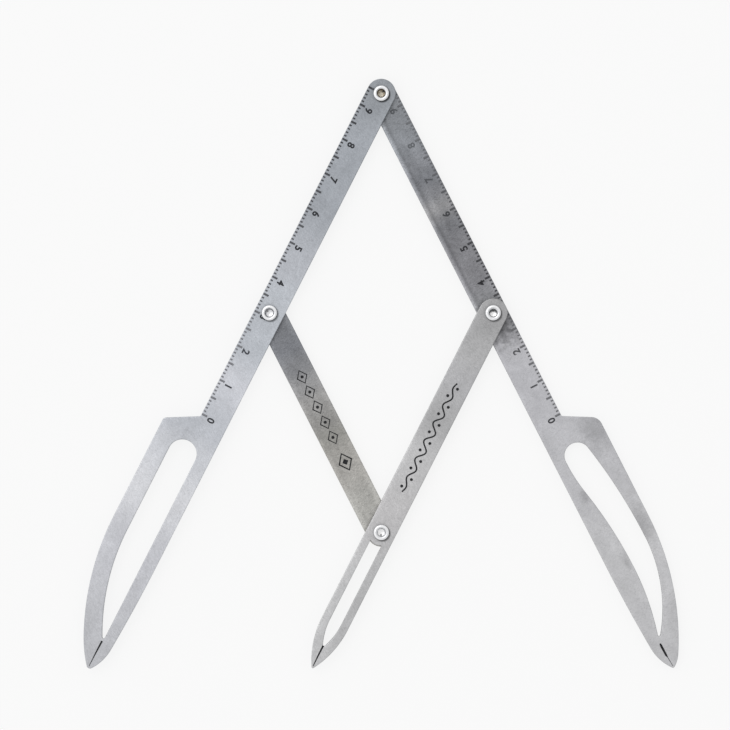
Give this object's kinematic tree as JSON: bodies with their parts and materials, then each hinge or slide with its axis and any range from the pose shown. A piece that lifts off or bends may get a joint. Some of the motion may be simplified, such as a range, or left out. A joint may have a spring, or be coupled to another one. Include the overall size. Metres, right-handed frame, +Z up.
{
  "type": "golden ratio caliper",
  "caption": "Flat steel proportional caliper: two long blade-tipped legs and a short centre leg riveted into a parallelogram, so the centre tip divides the span in the golden ratio.",
  "frame": {"origin": "centre of the top rivet's rear head, on the surface that the caliper lies on", "axes": "+Z up along the hinges, towards the engraved front; +Y from the tips towards the top hinge; +X towards the right leg"},
  "size_m": [0.1542, 0.1526, 0.004],
  "materials": {
    "front_steel": "fine brushed",
    "rear_steel": "fine brushed",
    "rivet_nickel": "polished",
    "washer_steel": "dull"
  },
  "bodies": {
    "top_hinge": {"top_rivet": "rivet_nickel", "top_washer": "washer_steel"},
    "left_leg": {"left_leg": "front_steel", "left_rivet": "rivet_nickel", "left_washer": "washer_steel"},
    "right_leg": {"right_leg": "rear_steel", "right_rivet": "rivet_nickel", "right_washer": "washer_steel"},
    "left_link": {"left_link": "rear_steel"},
    "centre_leg": {"centre_leg": "front_steel", "centre_rivet": "rivet_nickel", "centre_washer": "washer_steel"}
  },
  "joints": [
    {"name": "left_leg_hinge", "type": "hinge", "parent": "top_hinge", "child": "left_leg", "pos_m": [0, 0, 0], "axis": [0, 0, 1], "range_deg": [-59.5, 23.5]},
    {"name": "right_leg_hinge", "type": "hinge", "parent": "top_hinge", "child": "right_leg", "pos_m": [0, 0, 0], "axis": [0, 0, 1], "range_deg": [-23.5, 59.5]},
    {"name": "left_link_hinge", "type": "hinge", "parent": "left_leg", "child": "left_link", "pos_m": [-0.02896, -0.05684, 0], "axis": [0, 0, 1], "range_deg": [-47, 119]},
    {"name": "centre_leg_hinge", "type": "hinge", "parent": "right_leg", "child": "centre_leg", "pos_m": [0.02896, -0.05684, 0], "axis": [0, 0, 1], "range_deg": [-119, 47]}
  ],
  "couplings": [
    {"joint": "right_leg_hinge", "follows": "left_leg_hinge", "ratio": -1},
    {"joint": "left_link_hinge", "follows": "left_leg_hinge", "ratio": -2},
    {"joint": "centre_leg_hinge", "follows": "left_leg_hinge", "ratio": 2}
  ]
}
